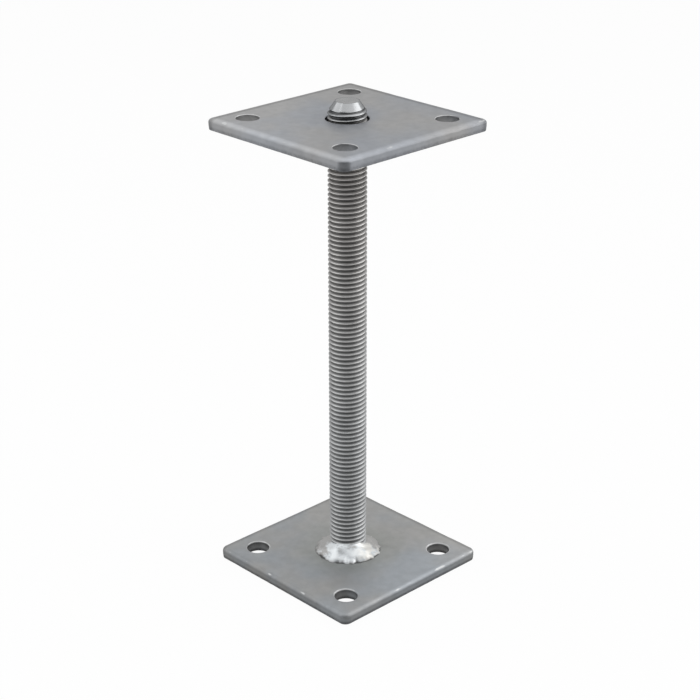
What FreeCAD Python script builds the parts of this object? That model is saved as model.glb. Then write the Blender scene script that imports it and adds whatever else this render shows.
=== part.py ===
import FreeCAD, Part
import math
import os

import Sketcher

# Adjustable post base: a base plate with a threaded rod welded upright on it, and a head plate
# that is carried at any height on the rod by a thin hexagon nut.
# Millimetres, +Z up, origin at the centre of the base plate's underside.

# Driving dimensions of the real object. Each one is a cell of the document's sheet.
SIZES = {
    "plate_side": 100.0,
    "plate_thickness": 6.0,
    "plate_corner_radius": 4.0,
    "base_edge_roll": 2.2,
    "head_edge_roll": 2.2,
    "bolt_hole_diameter": 12.0,
    "bolt_hole_edge_distance": 15.0,
    "base_rim_roll": 1.1,
    "head_rim_roll": 0.5,
    "lower_edge_radius": 0.25,
    "rod_diameter": 20.0,
    "rod_length": 253.0,
    "rod_tip_diameter": 12.4,
    "rod_tip_length": 5.5,
    "rod_stand_out": 9.0,
    "rod_hole_clearance": 1.0,
    "weld_leg_out": 8.0,
    "weld_leg_up": 8.5,
    "weld_crown": 0.9,
    "nut_across_flats": 30.0,
    "nut_height": 10.0,
    "nut_face_inset": 0.6,
    "nut_chamfer_angle": 30.0,
    "nut_bore_clearance": 0.05,
    "nut_mouth_chamfer": 0.8,
}
HOLES_PER_PLATE = 4
NUT_SIDES = 6
FULL_TURN = 360.0

# Sizes that several pieces share, worked out from the driving dimensions.
ROD_RADIUS = "sizes.rod_diameter / 2"
ROD_FOOT = "sizes.plate_thickness"
HEAD_UNDERSIDE = f"{ROD_FOOT} + sizes.rod_length - sizes.rod_stand_out - sizes.plate_thickness"
NUT_FACE_RADIUS = "sizes.nut_across_flats / 2 - sizes.nut_face_inset"
NUT_CORNER_RADIUS = f"sizes.nut_across_flats / 2 / cos({FULL_TURN / 2 / NUT_SIDES} deg)"

# Two heights or radii count as one when they differ by less than this.
SAME = 1e-6

# The sketcher's numbers for a line's start, a line's end and a circle's centre, then for its
# level axis, which starts at the origin, and its upright axis.
START, END, CENTRE = range(1, 4)
LEVEL_AXIS, UPRIGHT_AXIS = range(-1, -3, -1)
ORIGIN = LEVEL_AXIS
ON_AXIS = None

document = FreeCAD.newDocument("post_base")
sheet = document.addObject("Spreadsheet::Sheet", "sizes")
for row, (alias, value) in enumerate(SIZES.items(), start=1):
    sheet.set(f"A{row}", alias)
    sheet.set(f"B{row}", str(value))
    sheet.setAlias(f"B{row}", alias)
document.recompute()


def value_of(expression):
    """The number that an expression on the sheet's cells gives."""
    return float(sheet.evalExpression(expression))


def new_body(label):
    """An empty body whose label is the node's name."""
    body = document.addObject("PartDesign::Body", label)
    body.Label = label
    return body


def new_sketch(body, name, role):
    """A sketch on one of the body's own origin planes."""
    plane = next(feature for feature in body.Origin.OriginFeatures if feature.Role == role)
    sketch = body.newObject("Sketcher::SketchObject", name)
    sketch.AttachmentSupport = [(plane, "")]
    sketch.MapMode = "FlatFace"
    return sketch


def bind(sketch, name, expression, kind, *elements):
    """Adds a dimension to a sketch and binds it to the sheet."""
    index = sketch.addConstraint(Sketcher.Constraint(kind, *elements, value_of(expression)))
    sketch.renameConstraint(index, name)
    sketch.setExpression(f"Constraints.{name}", expression)


def place_point(sketch, name, geometry, point, along, up):
    """Fixes a point by its two bound distances from the sketch origin, or puts it on an axis."""
    if along is ON_AXIS:
        sketch.addConstraint(Sketcher.Constraint("PointOnObject", geometry, point, UPRIGHT_AXIS))
    else:
        bind(sketch, f"{name}_along", along, "DistanceX", ORIGIN, START, geometry, point)
    if up is ON_AXIS:
        sketch.addConstraint(Sketcher.Constraint("PointOnObject", geometry, point, LEVEL_AXIS))
    else:
        bind(sketch, f"{name}_up", up, "DistanceY", ORIGIN, START, geometry, point)


def closed_lines(sketch, corners):
    """Straight lines through a ring of (x, y) corners, joined end to end, and their numbers."""
    points = [FreeCAD.Vector(x, y, 0) for x, y in corners]
    ring = list(zip(points, points[1:] + points[:1]))
    lines = [sketch.addGeometry(Part.LineSegment(start, end), False) for start, end in ring]
    for line, following in zip(lines, lines[1:] + lines[:1]):
        sketch.addConstraint(Sketcher.Constraint("Coincident", line, END, following, START))
    return lines


def bound_outline(sketch, corners):
    """A closed outline through named corners, each given by two expressions or ON_AXIS."""
    places = [
        tuple(0.0 if distance is ON_AXIS else value_of(distance) for distance in corner)
        for corner in corners.values()
    ]
    lines = closed_lines(sketch, places)
    for line, (name, (along, up)) in zip(lines, corners.items()):
        place_point(sketch, name, line, START, along, up)


def bound_circle(sketch, name, diameter, centre=ON_AXIS):
    """A circle of bound diameter, about the origin or as far along as up from it."""
    offset = 0.0 if centre is ON_AXIS else value_of(centre)
    middle = FreeCAD.Vector(offset, offset, 0)
    shape = Part.Circle(middle, FreeCAD.Vector(0, 0, 1), value_of(diameter) / 2)
    circle = sketch.addGeometry(shape, False)
    bind(sketch, f"{name}_diameter", diameter, "Diameter", circle)
    place_point(sketch, name, circle, CENTRE, centre, centre)


def pad_up(body, sketch, name, length):
    """Pads a sketch upwards by a bound length."""
    pad = body.newObject("PartDesign::Pad", name)
    pad.Profile = sketch
    pad.setExpression("Length", length)


def cut_through(body, sketch, name):
    """Cuts a sketch on the underside up through everything above it."""
    pocket = body.newObject("PartDesign::Pocket", name)
    pocket.Profile = sketch
    pocket.Type = "ThroughAll"
    pocket.Reversed = True
    return pocket


def turn_about_axis(body, sketch, name, kind):
    """Turns a sketch a full turn about the body's upright axis, to add or to cut."""
    turned = body.newObject(kind, name)
    turned.Profile = sketch
    turned.ReferenceAxis = (sketch, ["V_Axis"])
    turned.Angle = FULL_TURN


def dress_edges(body, name, kind, parameter, expression, *tests):
    """Rounds or chamfers those edges of the body's last feature that pass every test."""
    document.recompute()
    base = body.Tip
    edges = enumerate(base.Shape.Edges, start=1)
    dressed = body.newObject(kind, name)
    chosen = [f"Edge{number}" for number, edge in edges if all(test(edge) for test in tests)]
    dressed.Base = (base, chosen)
    dressed.setExpression(parameter, expression)


def is_level(edge):
    """True for an edge that lies in one level plane."""
    return edge.BoundBox.ZLength < SAME


def is_corner_edge(edge):
    """True for the upright straight edges at a plate's corners."""
    return isinstance(edge.Curve, Part.Line) and not is_level(edge)


def is_rim(edge):
    """True for the round mouth of a hole."""
    return is_level(edge) and edge.isClosed()


def is_outer_edge(edge):
    """True for the edges round a plate's two faces, apart from its holes."""
    return is_level(edge) and not edge.isClosed()


def is_below(edge):
    """True for an edge in the plane of a plate's underside."""
    return edge.BoundBox.ZMax < SAME


def is_above(edge):
    """True for an edge over a plate's underside."""
    return not is_below(edge)


def round_punched_edges(body, name, kind, roll):
    """Rounds one kind of edge as punching leaves it: rolled over above, nearly sharp below."""
    sharp = "sizes.lower_edge_radius"
    dress_edges(body, f"{name}_above", "PartDesign::Fillet", "Radius", roll, kind, is_above)
    dress_edges(body, f"{name}_below", "PartDesign::Fillet", "Radius", sharp, kind, is_below)


def square_outline(sketch, side):
    """A square of bound side, centred on the sketch origin."""
    half = value_of(side) / 2
    bottom, right, top, left = closed_lines(
        sketch, [(-half, -half), (half, -half), (half, half), (-half, half)]
    )
    for line in (bottom, top):
        sketch.addConstraint(Sketcher.Constraint("Horizontal", line))
    for line in (right, left):
        sketch.addConstraint(Sketcher.Constraint("Vertical", line))
    sketch.addConstraint(Sketcher.Constraint("Symmetric", bottom, START, top, START, ORIGIN, START))
    sketch.addConstraint(Sketcher.Constraint("Equal", bottom, right))
    bind(sketch, "side", side, "DistanceX", bottom, START, bottom, END)


def build_plate(role, rod_passes):
    """A square plate, punched from above, with rounded corners and a fixing hole near each one.

    Both plates are of one size. The head plate also has a clearance hole in its middle, which
    the rod passes through.
    """
    label = f"{role}_plate"
    side = "sizes.plate_side"
    body = new_body(label)
    outline = new_sketch(body, f"{label}_outline", "XY_Plane")
    square_outline(outline, side)
    pad_up(body, outline, f"{label}_blank", "sizes.plate_thickness")
    corner_radius = "sizes.plate_corner_radius"
    dress_edges(body, f"{label}_corners", "PartDesign::Fillet", "Radius", corner_radius, is_corner_edge)

    if rod_passes:
        rod_hole = new_sketch(body, f"{label}_rod_hole_sketch", "XY_Plane")
        bound_circle(rod_hole, "rod_hole", "sizes.rod_diameter + 2 * sizes.rod_hole_clearance")
        cut_through(body, rod_hole, f"{label}_rod_hole")

    bolt_hole = new_sketch(body, f"{label}_bolt_hole_sketch", "XY_Plane")
    bolt_offset = f"{side} / 2 - sizes.bolt_hole_edge_distance"
    bound_circle(bolt_hole, "bolt_hole", "sizes.bolt_hole_diameter", bolt_offset)
    pocket = cut_through(body, bolt_hole, f"{label}_bolt_hole")
    document.recompute()
    holes = body.newObject("PartDesign::PolarPattern", f"{label}_bolt_holes")
    holes.Originals = [pocket]
    holes.Axis = (bolt_hole, ["N_Axis"])
    holes.Angle = FULL_TURN
    holes.Occurrences = HOLES_PER_PLATE
    body.Tip = holes

    round_punched_edges(body, f"{label}_edges", is_outer_edge, f"sizes.{role}_edge_roll")
    round_punched_edges(body, f"{label}_rims", is_rim, f"sizes.{role}_rim_roll")
    return body


def build_threaded_rod():
    """The rod at its thread's outer diameter, with a turned, tapered end."""
    body = new_body("threaded_rod")
    profile = new_sketch(body, "threaded_rod_profile", "XZ_Plane")
    rod_end = "sizes.rod_length"
    corners = {
        "foot_centre": (ON_AXIS, ON_AXIS),
        "foot": (ROD_RADIUS, ON_AXIS),
        "shoulder": (ROD_RADIUS, f"{rod_end} - sizes.rod_tip_length"),
        "tip": ("sizes.rod_tip_diameter / 2", rod_end),
        "tip_centre": (ON_AXIS, rod_end),
    }
    bound_outline(profile, corners)
    turn_about_axis(body, profile, "threaded_rod_turned", "PartDesign::Revolution")
    body.setExpression("Placement.Base.z", ROD_FOOT)
    return body


def build_weld_bead():
    """The ring of weld metal in the corner between the rod and the base plate.

    Its section has a leg along the plate, a leg up the rod, and a face that bulges by the
    crown past the straight line between the two toes.
    """
    body = new_body("weld_bead")
    section = new_sketch(body, "weld_bead_section", "XZ_Plane")
    root_radius = value_of(ROD_RADIUS)
    leg_out = value_of("sizes.weld_leg_out")
    leg_up = value_of("sizes.weld_leg_up")
    chord = math.hypot(leg_out, leg_up)

    root = FreeCAD.Vector(root_radius, 0, 0)
    plate_toe = FreeCAD.Vector(root_radius + leg_out, 0, 0)
    rod_toe = FreeCAD.Vector(root_radius, leg_up, 0)
    outward = FreeCAD.Vector(leg_up / chord, leg_out / chord, 0)
    crest = (plate_toe + rod_toe) / 2 + outward * value_of("sizes.weld_crown")

    on_plate = section.addGeometry(Part.LineSegment(root, plate_toe), False)
    face = section.addGeometry(Part.Arc(plate_toe, crest, rod_toe), False)
    on_rod = section.addGeometry(Part.LineSegment(rod_toe, root), False)
    section.addConstraint(Sketcher.Constraint("Coincident", on_plate, END, face, START))
    section.addConstraint(Sketcher.Constraint("Coincident", face, END, on_rod, START))
    section.addConstraint(Sketcher.Constraint("Coincident", on_rod, END, on_plate, START))
    place_point(section, "root", on_plate, START, ROD_RADIUS, ON_AXIS)
    place_point(section, "plate_toe", on_plate, END, f"{ROD_RADIUS} + sizes.weld_leg_out", ON_AXIS)
    place_point(section, "rod_toe", on_rod, START, ROD_RADIUS, "sizes.weld_leg_up")
    half_chord_squared = "(sizes.weld_leg_out ^ 2 + sizes.weld_leg_up ^ 2) / 4"
    face_radius = f"({half_chord_squared} + sizes.weld_crown ^ 2) / (2 * sizes.weld_crown)"
    bind(section, "face_radius", face_radius, "Radius", face)

    turn_about_axis(body, section, "weld_bead_ring", "PartDesign::Revolution")
    body.setExpression("Placement.Base.z", ROD_FOOT)
    return body


def hexagon_outline(sketch):
    """A regular hexagon whose corners lie on a construction circle about the origin."""
    radius = value_of(NUT_CORNER_RADIUS)
    turns = [2 * math.pi * number / NUT_SIDES for number in range(NUT_SIDES)]
    sides = closed_lines(sketch, [(radius * math.cos(turn), radius * math.sin(turn)) for turn in turns])
    shape = Part.Circle(FreeCAD.Vector(0, 0, 0), FreeCAD.Vector(0, 0, 1), radius)
    circle = sketch.addGeometry(shape, True)
    sketch.addConstraint(Sketcher.Constraint("Coincident", circle, CENTRE, ORIGIN, START))
    for side in sides:
        sketch.addConstraint(Sketcher.Constraint("PointOnObject", side, START, circle))
    for side in sides[1:]:
        sketch.addConstraint(Sketcher.Constraint("Equal", sides[0], side))
    sketch.addConstraint(Sketcher.Constraint("PointOnObject", sides[0], START, LEVEL_AXIS))
    bind(sketch, "corner_radius", NUT_CORNER_RADIUS, "Radius", circle)


def build_height_nut():
    """The thin hexagon nut that carries the head plate, chamfered on both faces."""
    body = new_body("height_nut")
    outline = new_sketch(body, "height_nut_outline", "XY_Plane")
    hexagon_outline(outline)
    pad_up(body, outline, "height_nut_blank", "sizes.nut_height")
    document.recompute()

    # A ring of triangular section, out to the nut's corners, takes them off at each face.
    fall = f"({NUT_CORNER_RADIUS} - ({NUT_FACE_RADIUS})) * tan(sizes.nut_chamfer_angle * 1 deg)"
    top = "sizes.nut_height"
    cutters = new_sketch(body, "height_nut_chamfer_sketch", "XZ_Plane")
    low_ring = {
        "low_face": (NUT_FACE_RADIUS, ON_AXIS),
        "low_corner": (NUT_CORNER_RADIUS, ON_AXIS),
        "low_side": (NUT_CORNER_RADIUS, fall),
    }
    high_ring = {
        "high_face": (NUT_FACE_RADIUS, top),
        "high_side": (NUT_CORNER_RADIUS, f"{top} - {fall}"),
        "high_corner": (NUT_CORNER_RADIUS, top),
    }
    bound_outline(cutters, low_ring)
    bound_outline(cutters, high_ring)
    turn_about_axis(body, cutters, "height_nut_chamfers", "PartDesign::Groove")

    bore = new_sketch(body, "height_nut_bore_sketch", "XY_Plane")
    bore_diameter = "sizes.rod_diameter + 2 * sizes.nut_bore_clearance"
    bound_circle(bore, "bore", bore_diameter)
    cut_through(body, bore, "height_nut_bore")
    bore_radius = value_of(bore_diameter) / 2

    def is_mouth(edge):
        """True for the two ends of the bore."""
        return is_rim(edge) and abs(edge.Curve.Radius - bore_radius) < SAME

    mouth_size = "sizes.nut_mouth_chamfer"
    dress_edges(body, "height_nut_mouths", "PartDesign::Chamfer", "Size", mouth_size, is_mouth)
    body.setExpression("Placement.Base.z", f"{HEAD_UNDERSIDE} - sizes.nut_height")
    return body


base_plate = build_plate("base", rod_passes=False)
threaded_rod = build_threaded_rod()
weld_bead = build_weld_bead()
head_plate = build_plate("head", rod_passes=True)
head_plate.setExpression("Placement.Base.z", HEAD_UNDERSIDE)
height_nut = build_height_nut()
document.recompute()

for item in document.Objects:
    if {"Invalid", "Error"} & set(item.State):
        raise RuntimeError(f"{item.Label} failed: {item.State}")

nodes = [base_plate, threaded_rod, weld_bead, head_plate, height_nut]
for node in nodes:
    if node.Shape.isNull() or not node.Shape.isValid():
        raise RuntimeError(f"{node.Label} has no valid shape")

os.makedirs("parts", exist_ok=True)
for node in nodes:
    node.Shape.exportStep(f"parts/{node.Label}.step")
    print(f"{node.Label}: {node.Shape.Volume:.1f} mm3, {len(node.Shape.Solids)} solid")
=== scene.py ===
"""Dressed model of an adjustable post base.

Two punched and galvanised plates, a threaded rod that is welded upright on the lower one, and the
thin nut that carries the upper one on the rod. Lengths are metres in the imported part's own frame:
+Z runs up along the rod, and the origin is under the middle of the base plate.
"""

import logging
import math
from dataclasses import dataclass, field
from enum import Enum

import bpy
import numpy as np
from mathutils import Matrix, Vector


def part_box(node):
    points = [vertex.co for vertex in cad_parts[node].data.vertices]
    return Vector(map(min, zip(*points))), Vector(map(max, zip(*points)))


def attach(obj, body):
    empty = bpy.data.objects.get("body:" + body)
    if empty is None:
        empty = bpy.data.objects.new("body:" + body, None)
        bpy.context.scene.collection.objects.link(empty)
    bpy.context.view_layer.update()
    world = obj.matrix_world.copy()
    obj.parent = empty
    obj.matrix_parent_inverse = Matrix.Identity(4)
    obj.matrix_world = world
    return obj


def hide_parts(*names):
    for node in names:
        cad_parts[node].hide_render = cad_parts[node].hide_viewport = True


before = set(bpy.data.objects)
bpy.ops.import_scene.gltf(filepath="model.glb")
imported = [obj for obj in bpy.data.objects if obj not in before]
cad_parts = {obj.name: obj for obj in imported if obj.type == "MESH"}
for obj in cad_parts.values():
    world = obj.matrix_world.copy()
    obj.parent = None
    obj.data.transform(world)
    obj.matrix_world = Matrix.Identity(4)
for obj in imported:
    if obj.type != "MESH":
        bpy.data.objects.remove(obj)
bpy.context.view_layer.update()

LOG = logging.getLogger("post_base")
MM = 0.001
FULL_TURN = 2 * math.pi
QUARTER_TURN = FULL_TURN / 4
QUADRANTS = 4
HEXAGON_SIDES = 6

# Points closer together than this are one point.
SEAM_STEP = 1e-4 * MM

# Shortest and longest wave of an unevenness, as shares of its typical wavelength, and its slants.
WAVE_LENGTHS = (0.6, 1.7)
WAVE_SLANTS = (-4, 4)

# Ranges that hold most of a noise's values, and only the middle ones.
NOISE_BODY = (0.3, 0.7)
NOISE_MIDDLE = (0.35, 0.65)

# Points down a punched wall: on the roll, on the sheared and on the broken part, and on the burr.
ROLL_POINTS, SHEAR_POINTS, BREAK_POINTS, BURR_POINTS = 9, 5, 5, 3

# How much less painted shade each point below the roll gets, lighter in the wall's middle, and how torn
# each point below the sheared part is.
SHADE_RELIEF = np.array([0.4, 0.85, 1, 1, 1, 0.9, 0.7, 0.3, 0, 0, 0, 0, 0])
TEAR = np.array([0.3, 0.7, 1, 1, 1, 1, 1, 1])

# Where the rows of a plate's face lie between a hole's rim and the border, closer near both.
FACE_SHARES = np.array([0, 0.015, 0.05, 0.12, 0.25, 0.4, 0.55, 0.7, 0.82, 0.91, 0.965, 0.988, 1.0])

# Radii of the rings of a disc, as shares of its own radius.
DISC_SHARES = np.array([1.0, 0.9, 0.6, 0.3, 0.0])

Array = np.ndarray
Colour = tuple[float, float, float]
Range = tuple[float, float]
Socket = bpy.types.NodeSocket
Value = Socket | float
Paint = Socket | Colour


class Mask(Enum):
    """Point attributes that tell a finish which part of a piece a point lies on."""

    ROLL = "rolled_edge"
    WALL = "outer_wall"
    BORE = "hole_wall"
    BREAK = "broken_wall"
    # DEEP carries painted shade: in the thread's grooves, black in the gap round the rod, and along the
    # weld's toe; on the rod it also roughens the grooves.
    DEEP = "deep_place"
    END = "end_face"


class Shading(Enum):
    """How far two neighbouring faces may turn, in degrees, and still be shaded as one."""

    ROUNDED = 60
    TURNED = 52
    FLAT_SIDED = 25


class Maths(Enum):
    """Arithmetic steps on the values of a material."""

    ADD = "ADD"
    SUBTRACT = "SUBTRACT"
    MULTIPLY = "MULTIPLY"
    MAXIMUM = "MAXIMUM"
    ABSOLUTE = "ABSOLUTE"
    SQRT = "SQRT"


class Blend(Enum):
    """Ways in which a material puts two colours together."""

    MIX = "MIX"
    MULTIPLY = "MULTIPLY"


def unevenness(first: Array, second: Array, length: float, seed: int, waves: int = 11) -> Array:
    """Smooth seeded unevenness over a plane: the sum of plane waves of random heading and phase.

    Args:
        first: First coordinate of each point.
        second: Second coordinate of each point, of the same shape.
        length: Typical wavelength, in the coordinates' unit.
        seed: Seed of the headings, lengths and phases.
        waves: How many waves are added up.

    Returns:
        A height for each point, mostly between -1 and 1.
    """
    random = np.random.default_rng(seed)
    heading = random.uniform(0, FULL_TURN, waves)
    number = FULL_TURN / (length * random.uniform(*WAVE_LENGTHS, waves))
    phase = random.uniform(0, FULL_TURN, waves)
    along = first[..., None] * np.cos(heading) + second[..., None] * np.sin(heading)
    return np.sin(along * number + phase).sum(axis=-1) / math.sqrt(waves)


def round_unevenness(angle: Array, height: Array, lobes: int, seed: int, waves: int = 9) -> Array:
    """Seeded unevenness that closes on itself round a ring: waves of whole numbers of lobes.

    Args:
        angle: Angle round the ring, in radians.
        height: Place across the ring's section, which shifts each wave's phase by its slant.
        lobes: About how many lobes a wave has round the ring.
        seed: Seed of the lobe counts, phases and slants.
        waves: How many waves are added up.

    Returns:
        A height for each point, mostly between -1 and 1.
    """
    random = np.random.default_rng(seed)
    count = random.integers(max(1, lobes // 2), 2 * lobes, waves)
    phase = random.uniform(0, FULL_TURN, waves)
    slant = random.uniform(*WAVE_SLANTS, waves)
    wave = angle[..., None] * count + height[..., None] * slant + phase
    return np.sin(wave).sum(axis=-1) / math.sqrt(waves)


def ringed(angle: Array, radius: Array, height: Array) -> Array:
    """Points given by their angle, radius and height."""
    return np.stack([radius * np.cos(angle), radius * np.sin(angle), height], axis=-1)


def raised(plan: Array, height: Array) -> Array:
    """Gives each row of a plan, of shape (rows, stations, 2), its own height."""
    return np.dstack([plan, np.broadcast_to(height[:, None], plan.shape[:2])])


@dataclass
class Surface:
    """Grid patches that are gathered, welded along their seams and made one mesh.

    Attributes:
        points: Points of each patch.
        quads: Corners of each patch's faces, as numbers of points.
        masks: Values of each mask at the points of each patch.
    """

    points: list[Array] = field(default_factory=list)
    quads: list[Array] = field(default_factory=list)
    masks: dict[Mask, list[Array]] = field(default_factory=lambda: {mask: [] for mask in Mask})

    def add(self, grid: Array, turned: bool = False, **masks: Array) -> None:
        """Adds a grid of points as a patch, whose face looks along its columns crossed with its rows.

        Args:
            grid: Points, of shape (rows, columns, 3).
            turned: Whether the patch looks the other way.
            **masks: Values from 0 to 1 for each row or each point, by the name of the mask.
        """
        rows, columns = grid.shape[:2]
        start = sum(len(patch) for patch in self.points)
        index = start + np.arange(rows * columns).reshape(rows, columns)
        corners = [index[:-1, :-1], index[:-1, 1:], index[1:, 1:], index[1:, :-1]]
        quads = np.stack(corners, axis=-1).reshape(-1, 4)
        self.points.append(grid.reshape(-1, 3))
        self.quads.append(quads[:, ::-1] if turned else quads)
        for mask, values in self.masks.items():
            given = np.asarray(masks.get(mask.name, 0.0), dtype=float)
            by_row = given[:, None] if given.ndim == 1 else given
            values.append(np.broadcast_to(by_row, (rows, columns)).reshape(-1))

    def welded(self) -> tuple[Array, Array, list[list[int]]]:
        """Merges points that coincide, and closes the quads that fold up at a seam or a pole.

        Returns:
            The points, the number of the first old point at each of them, and the faces.
        """
        points = np.concatenate(self.points)
        places = np.round(points / SEAM_STEP).astype(np.int64)
        _, first, merged = np.unique(places, axis=0, return_index=True, return_inverse=True)
        quads = merged.reshape(-1)[np.concatenate(self.quads)]
        doubled = quads == np.roll(quads, -1, axis=1)
        folds = doubled.sum(axis=1)
        folded = quads[folds == 1]
        triangles = folded[~doubled[folds == 1]].reshape(-1, 3)
        return points[first], first, quads[folds == 0].tolist() + triangles.tolist()

    def to_object(self, name: str, shading: Shading) -> bpy.types.Object:
        """Makes the welded surface an object at the origin.

        Args:
            name: Name of the piece.
            shading: How sharp an edge has to be to show as one.

        Returns:
            The new object.
        """
        points, first, faces = self.welded()
        mesh = bpy.data.meshes.new(name)
        mesh.from_pydata(points, [], faces)
        for mask, values in self.masks.items():
            attribute = mesh.attributes.new(mask.value, "FLOAT", "POINT")
            attribute.data.foreach_set("value", np.concatenate(values)[first].astype(np.float32))
        mesh.polygons.foreach_set("use_smooth", np.ones(len(mesh.polygons), dtype=bool))
        mesh.set_sharp_from_angle(angle=math.radians(shading.value))
        mesh.validate()
        piece = bpy.data.objects.new(name, mesh)
        bpy.context.scene.collection.objects.link(piece)
        return piece


class NodeSketch:
    """A node tree under construction, with a helper for each kind of node that it needs.

    Attributes:
        colour_inputs: Numbers of the two colour inputs of Blender's mix node.
        colour_output: Number of its colour output.
        tree: The node tree.
    """

    colour_inputs = (6, 7)
    colour_output = 2

    def __init__(self, tree: bpy.types.NodeTree) -> None:
        """Starts on a node tree."""
        self.tree = tree

    def add(self, kind: str, **settings: str) -> bpy.types.Node:
        """Adds a node.

        Args:
            kind: Blender's name for the kind of node, without the words that all of them share.
            **settings: The node's settings.

        Returns:
            The new node.
        """
        node = self.tree.nodes.new(f"ShaderNode{kind}")
        for name, setting in settings.items():
            setattr(node, name, setting)
        return node

    def fill(self, socket: Socket, value: Value | Colour | Vector) -> None:
        """Links a socket to another one, or sets its number, vector or colour.

        Args:
            socket: Input that is filled.
            value: What fills it.
        """
        if isinstance(value, Socket):
            self.tree.links.new(value, socket)
        elif isinstance(value, tuple):
            socket.default_value = (*value, 1.0)
        else:
            socket.default_value = value

    def feed(self, node: bpy.types.Node, **inputs: Value | Colour | Vector) -> None:
        """Fills inputs of a node, named with underscores for spaces."""
        for name, value in inputs.items():
            self.fill(node.inputs[name.replace("_", " ")], value)

    def maths(self, operation: Maths, first: Value, second: Value = 0.0) -> Socket:
        """Takes one arithmetic step.

        Args:
            operation: The kind of step.
            first: First value.
            second: Second value, where the step has one.

        Returns:
            The result.
        """
        node = self.add("Math", operation=operation.value)
        for socket, value in zip(node.inputs, (first, second)):
            self.fill(socket, value)
        return node.outputs["Value"]

    def plus(self, first: Value, *others: Value) -> Value:
        """Adds values up.

        Args:
            first: First value.
            *others: What is added to it.

        Returns:
            The sum.
        """
        for other in others:
            first = self.maths(Maths.ADD, first, other)
        return first

    def minus(self, first: Value, second: Value) -> Socket:
        """The first value less the second."""
        return self.maths(Maths.SUBTRACT, first, second)

    def times(self, first: Value, second: Value) -> Socket:
        """The product of two values."""
        return self.maths(Maths.MULTIPLY, first, second)

    def larger(self, first: Value, second: Value) -> Socket:
        """The larger one of two values."""
        return self.maths(Maths.MAXIMUM, first, second)

    def spread(self, value: Socket, source: Range, target: Range = (0.0, 1.0)) -> Socket:
        """Maps a value from one range to another and clamps it, with a smooth step.

        Args:
            value: The value.
            source: Where the range that it comes from begins and ends.
            target: Where the range that it is mapped to begins and ends.

        Returns:
            The mapped value.
        """
        node = self.add("MapRange", interpolation_type="SMOOTHSTEP")
        self.feed(node, Value=value, From_Min=source[0], From_Max=source[1])
        self.feed(node, To_Min=target[0], To_Max=target[1])
        return node.outputs["Result"]

    def mix(self, amount: Value, first: Paint, second: Paint, blend: Blend = Blend.MIX) -> Socket:
        """Puts two colours together.

        Args:
            amount: How much of the second colour shows, from 0 to 1.
            first: Colour below.
            second: Colour on top.
            blend: How the second one is put on.

        Returns:
            The new colour.
        """
        node = self.add("Mix", data_type="RGBA", blend_type=blend.value)
        self.feed(node, Factor=amount)
        for number, paint in zip(self.colour_inputs, (first, second)):
            self.fill(node.inputs[number], paint)
        return node.outputs[self.colour_output]

    def toned(self, colour: Paint, tone: Value, amount: Value = 1.0) -> Socket:
        """Makes a colour darker or paler.

        Args:
            colour: The colour.
            tone: Factor on it, where 1 leaves it as it is.
            amount: How much of that shows, from 0 to 1.

        Returns:
            The new colour.
        """
        grey = (tone, tone, tone) if isinstance(tone, float) else tone
        return self.mix(amount, colour, grey, Blend.MULTIPLY)


class Recipe(NodeSketch):
    """A material under construction, on the coordinates and masks of the piece that it dresses.

    Attributes:
        material: The material.
        shader: Its shader.
        place: The piece's own coordinates.
    """

    def __init__(self, name: str) -> None:
        """Starts a material that has a principled shader only.

        Args:
            name: Name of the material.
        """
        self.material = bpy.data.materials.new(name)
        self.material.use_nodes = True
        super().__init__(self.material.node_tree)
        self.shader = self.tree.nodes["Principled BSDF"]
        self.place = self.add("TexCoord").outputs["Object"]

    def coat(self, **inputs: Value | Colour) -> None:
        """Fills inputs of the shader, named with underscores for spaces."""
        self.feed(self.shader, **inputs)

    def noise(self, size: float, detail: float, rough: float, seed: float, flat: float = 1.0) -> Socket:
        """Cloudy noise on the piece's own coordinates.

        Args:
            size: Size of its largest clouds, in metres.
            detail: How many finer layers it has.
            rough: How strong the finer layers are.
            seed: Offset that makes it a different noise.
            flat: How many times lower than wide its clouds are.

        Returns:
            The noise from about 0 to 1.
        """
        place = self.place
        if flat != 1.0:
            scale = self.add("Mapping")
            self.feed(scale, Vector=place, Scale=Vector((1.0, 1.0, flat)))
            place = scale.outputs["Vector"]
        node = self.add("TexNoise", noise_dimensions="4D")
        self.feed(node, Vector=place, W=seed, Scale=1 / size, Detail=detail, Roughness=rough)
        return node.outputs["Fac"]

    def mask(self, mask: Mask) -> Socket:
        """The value of one of the mesh's own masks."""
        return self.add("Attribute", attribute_name=mask.value).outputs["Fac"]

    def axes(self) -> tuple[Socket, Socket, Socket]:
        """The piece's own X, Y and Z.

        Returns:
            The three coordinates.
        """
        node = self.add("SeparateXYZ")
        self.feed(node, Vector=self.place)
        return node.outputs["X"], node.outputs["Y"], node.outputs["Z"]

    def from_axis(self) -> Socket:
        """Distance from the rod's axis."""
        x, y, _ = self.axes()
        return self.maths(Maths.SQRT, self.plus(self.times(x, x), self.times(y, y)))

    def bumps(self, *layers: tuple[Socket, float]) -> None:
        """Stacks bump layers on the shader.

        Args:
            *layers: Each layer's height from 0 to 1, and its depth in metres.
        """
        normal = None
        for height, depth in layers:
            node = self.add("Bump")
            self.feed(node, Height=height, Distance=depth)
            if normal is not None:
                self.feed(node, Normal=normal)
            normal = node.outputs["Normal"]
        self.coat(Normal=normal)


@dataclass(frozen=True)
class Finish:
    """A finish that dresses a piece.

    Attributes:
        seed: Offset of all its noises.
    """

    seed: float

    def lay(self, recipe: Recipe) -> None:
        """Lays the finish on a material, which each kind of finish does in its own way."""
        raise NotImplementedError

    def material(self, name: str) -> bpy.types.Material:
        """Makes the material.

        Args:
            name: Name of the material.

        Returns:
            The finished material.
        """
        recipe = Recipe(name)
        self.lay(recipe)
        return recipe.material


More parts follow.
